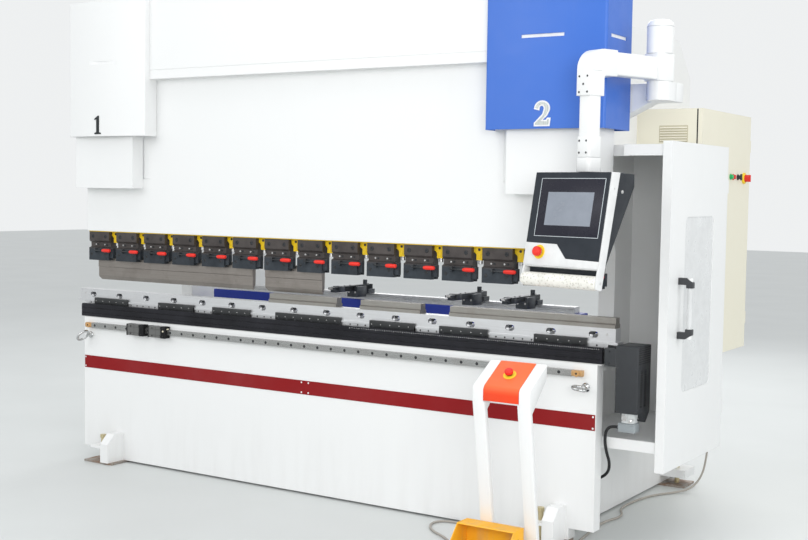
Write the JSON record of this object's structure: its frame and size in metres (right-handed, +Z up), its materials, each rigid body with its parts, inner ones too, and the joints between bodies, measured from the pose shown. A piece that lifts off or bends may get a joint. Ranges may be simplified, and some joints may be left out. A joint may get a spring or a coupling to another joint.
{
  "type": "cnc press brake",
  "caption": "Hydraulic press brake: ram between two cylinders over a crowned table, back gauge, side guard, cabinet, swivelling pendant and foot console.",
  "frame": {"origin": "on the floor, under the middle of the bend line", "axes": "+X along the bed to the operator's right, +Y to the back of the machine, +Z up"},
  "size_m": [3.486, 2.309, 2.48],
  "materials": {
    "white_paint": "semi-gloss powder coat",
    "zinc": "yellow zinc",
    "stripe_red": "satin",
    "bright_steel": "ground",
    "chrome": "polished",
    "black_steel": "black oxide",
    "black_anodised": "anodised",
    "yellow_paint": "semi-gloss",
    "red_plastic": "moulded",
    "beige_paint": "textured powder coat",
    "dark_plastic": "moulded",
    "gauge_blue": "semi-gloss",
    "grey_paint": "satin",
    "black_cable": "matt sheath",
    "grey_cable": "matt sheath"
  },
  "bodies": {
    "root": {"side_frames": "white_paint", "bed": "white_paint", "levelling_feet": "zinc", "stripe_plates": "stripe_red", "linear_rail": "bright_steel", "eye_bolts": "chrome", "table_base": "bright_steel", "crowning_rail": "bright_steel", "die_clamp_blocks": "black_steel", "dies": "bright_steel", "crowning_cover": "black_anodised", "crowning_drive": "black_steel", "motor_cable": "black_cable", "cylinders": "bright_steel", "cylinder_covers": "white_paint", "top_front_cover": "white_paint", "oil_tank": "white_paint", "guard_box": "white_paint", "cabinet": "beige_paint", "arm_bracket": "white_paint", "foot_console": "white_paint", "pedal_guard": "yellow_paint", "console_cable": "grey_cable", "gauge_base": "grey_paint"},
    "ram": {"ram": "white_paint", "ram_rail": "yellow_paint", "punch_clamps": "black_steel", "punches": "bright_steel", "piston_rods": "chrome", "rod_covers": "white_paint"},
    "rail_carriage_left": {"rail_carriage_left": "bright_steel"},
    "rail_carriage_right": {"rail_carriage_right": "bright_steel"},
    "guard_door": {"guard_door": "white_paint"},
    "cabinet_door": {"cabinet_door": "beige_paint"},
    "cabinet_estop": {"cabinet_estop": "red_plastic"},
    "swivel_arm": {"swivel_arm": "white_paint"},
    "pendant": {"pendant": "dark_plastic"},
    "pendant_estop": {"pendant_estop": "red_plastic"},
    "console_estop": {"console_estop": "red_plastic"},
    "foot_pedal": {"foot_pedal": "dark_plastic"},
    "gauge_beam": {"gauge_beam": "gauge_blue"},
    "gauge_rail": {"gauge_rail": "bright_steel"},
    "gauge_finger_1": {"gauge_finger_1": "black_steel"},
    "gauge_finger_2": {"gauge_finger_2": "black_steel"},
    "gauge_finger_3": {"gauge_finger_3": "black_steel"},
    "clamp_lever_01": {"clamp_lever_01": "red_plastic"},
    "clamp_lever_02": {"clamp_lever_02": "red_plastic"},
    "clamp_lever_03": {"clamp_lever_03": "red_plastic"},
    "clamp_lever_04": {"clamp_lever_04": "red_plastic"},
    "clamp_lever_05": {"clamp_lever_05": "red_plastic"},
    "clamp_lever_06": {"clamp_lever_06": "red_plastic"},
    "clamp_lever_07": {"clamp_lever_07": "red_plastic"},
    "clamp_lever_08": {"clamp_lever_08": "red_plastic"},
    "clamp_lever_09": {"clamp_lever_09": "red_plastic"},
    "clamp_lever_10": {"clamp_lever_10": "red_plastic"},
    "clamp_lever_11": {"clamp_lever_11": "red_plastic"},
    "clamp_lever_12": {"clamp_lever_12": "red_plastic"},
    "clamp_lever_13": {"clamp_lever_13": "red_plastic"},
    "clamp_lever_14": {"clamp_lever_14": "red_plastic"},
    "clamp_lever_15": {"clamp_lever_15": "red_plastic"}
  },
  "joints": [
    {"name": "ram_slide", "type": "slide", "parent": "root", "child": "ram", "axis": [0, 0, 1], "range_m": [-0.012, 0.16]},
    {"name": "carriage_left_slide", "type": "slide", "parent": "root", "child": "rail_carriage_left", "axis": [1, 0, 0], "range_m": [-0.28, 0.015]},
    {"name": "carriage_right_slide", "type": "slide", "parent": "root", "child": "rail_carriage_right", "axis": [1, 0, 0], "range_m": [-0.015, 2.3]},
    {"name": "guard_door_hinge", "type": "hinge", "parent": "root", "child": "guard_door", "pos_m": [1.795, 0.7313, 1], "axis": [0, 0, 1], "range_deg": [0, 95]},
    {"name": "cabinet_door_hinge", "type": "hinge", "parent": "root", "child": "cabinet_door", "pos_m": [1.6573, 1.493, 1.3], "axis": [0, 0, 1], "range_deg": [0, 110]},
    {"name": "cabinet_estop_press", "type": "slide", "parent": "cabinet_door", "child": "cabinet_estop", "axis": [-1, 0, 0], "range_m": [0, 0.005], "stiffness_N_per_m": 2000, "springref_m": -0.002},
    {"name": "arm_swivel", "type": "hinge", "parent": "root", "child": "swivel_arm", "pos_m": [1.722, 0.072, 2], "axis": [0, 0, 1], "range_deg": [0, 100]},
    {"name": "pendant_swivel", "type": "hinge", "parent": "swivel_arm", "child": "pendant", "pos_m": [1.58074, -0.31609, 1.58], "axis": [0, 0, 1], "range_deg": [-45, 45]},
    {"name": "pendant_estop_press", "type": "slide", "parent": "pendant", "child": "pendant_estop", "axis": [0.2375, 0.9525, -0.1908], "range_m": [0, 0.005], "stiffness_N_per_m": 2000, "springref_m": -0.002},
    {"name": "console_estop_press", "type": "slide", "parent": "root", "child": "console_estop", "axis": [0, 0.515, -0.8572], "range_m": [0, 0.005], "stiffness_N_per_m": 2000, "springref_m": -0.002},
    {"name": "foot_pedal_hinge", "type": "hinge", "parent": "root", "child": "foot_pedal", "pos_m": [1.348, -0.622, 0.046], "axis": [1, 0, 0], "range_deg": [0, 12], "stiffness_Nm_per_rad": 8, "springref_deg": -20.05},
    {"name": "gauge_beam_slide", "type": "slide", "parent": "root", "child": "gauge_beam", "axis": [0, 1, 0], "range_m": [-0.2, 0.4]},
    {"name": "gauge_rail_lift", "type": "slide", "parent": "gauge_beam", "child": "gauge_rail", "axis": [0, 0, 1], "range_m": [0, 0.1]},
    {"name": "gauge_finger_1_slide", "type": "slide", "parent": "gauge_rail", "child": "gauge_finger_1", "axis": [1, 0, 0], "range_m": [-0.99, 0.29]},
    {"name": "gauge_finger_2_slide", "type": "slide", "parent": "gauge_rail", "child": "gauge_finger_2", "axis": [1, 0, 0], "range_m": [-0.33, 0.11]},
    {"name": "gauge_finger_3_slide", "type": "slide", "parent": "gauge_rail", "child": "gauge_finger_3", "axis": [1, 0, 0], "range_m": [-0.11, 0.19]},
    {"name": "clamp_lever_01_swing", "type": "hinge", "parent": "ram", "child": "clamp_lever_01", "pos_m": [-1.4693, -0.046, 1.147], "axis": [0, 0, -1], "range_deg": [0, 90]},
    {"name": "clamp_lever_02_swing", "type": "hinge", "parent": "ram", "child": "clamp_lever_02", "pos_m": [-1.2624, -0.046, 1.147], "axis": [0, 0, -1], "range_deg": [0, 90]},
    {"name": "clamp_lever_03_swing", "type": "hinge", "parent": "ram", "child": "clamp_lever_03", "pos_m": [-1.0555, -0.046, 1.147], "axis": [0, 0, -1], "range_deg": [0, 90]},
    {"name": "clamp_lever_04_swing", "type": "hinge", "parent": "ram", "child": "clamp_lever_04", "pos_m": [-0.8486, -0.046, 1.147], "axis": [0, 0, -1], "range_deg": [0, 90]},
    {"name": "clamp_lever_05_swing", "type": "hinge", "parent": "ram", "child": "clamp_lever_05", "pos_m": [-0.6417, -0.046, 1.147], "axis": [0, 0, -1], "range_deg": [0, 90]},
    {"name": "clamp_lever_06_swing", "type": "hinge", "parent": "ram", "child": "clamp_lever_06", "pos_m": [-0.4348, -0.046, 1.147], "axis": [0, 0, -1], "range_deg": [0, 90]},
    {"name": "clamp_lever_07_swing", "type": "hinge", "parent": "ram", "child": "clamp_lever_07", "pos_m": [-0.2279, -0.046, 1.147], "axis": [0, 0, -1], "range_deg": [0, 90]},
    {"name": "clamp_lever_08_swing", "type": "hinge", "parent": "ram", "child": "clamp_lever_08", "pos_m": [-0.021, -0.046, 1.147], "axis": [0, 0, -1], "range_deg": [0, 90]},
    {"name": "clamp_lever_09_swing", "type": "hinge", "parent": "ram", "child": "clamp_lever_09", "pos_m": [0.1859, -0.046, 1.147], "axis": [0, 0, -1], "range_deg": [0, 90]},
    {"name": "clamp_lever_10_swing", "type": "hinge", "parent": "ram", "child": "clamp_lever_10", "pos_m": [0.3928, -0.046, 1.147], "axis": [0, 0, -1], "range_deg": [0, 90]},
    {"name": "clamp_lever_11_swing", "type": "hinge", "parent": "ram", "child": "clamp_lever_11", "pos_m": [0.5997, -0.046, 1.147], "axis": [0, 0, -1], "range_deg": [0, 90]},
    {"name": "clamp_lever_12_swing", "type": "hinge", "parent": "ram", "child": "clamp_lever_12", "pos_m": [0.8066, -0.046, 1.147], "axis": [0, 0, -1], "range_deg": [0, 90]},
    {"name": "clamp_lever_13_swing", "type": "hinge", "parent": "ram", "child": "clamp_lever_13", "pos_m": [1.0135, -0.046, 1.147], "axis": [0, 0, -1], "range_deg": [0, 90]},
    {"name": "clamp_lever_14_swing", "type": "hinge", "parent": "ram", "child": "clamp_lever_14", "pos_m": [1.2204, -0.046, 1.147], "axis": [0, 0, -1], "range_deg": [0, 90]},
    {"name": "clamp_lever_15_swing", "type": "hinge", "parent": "ram", "child": "clamp_lever_15", "pos_m": [1.4273, -0.046, 1.147], "axis": [0, 0, -1], "range_deg": [0, 90]}
  ]
}
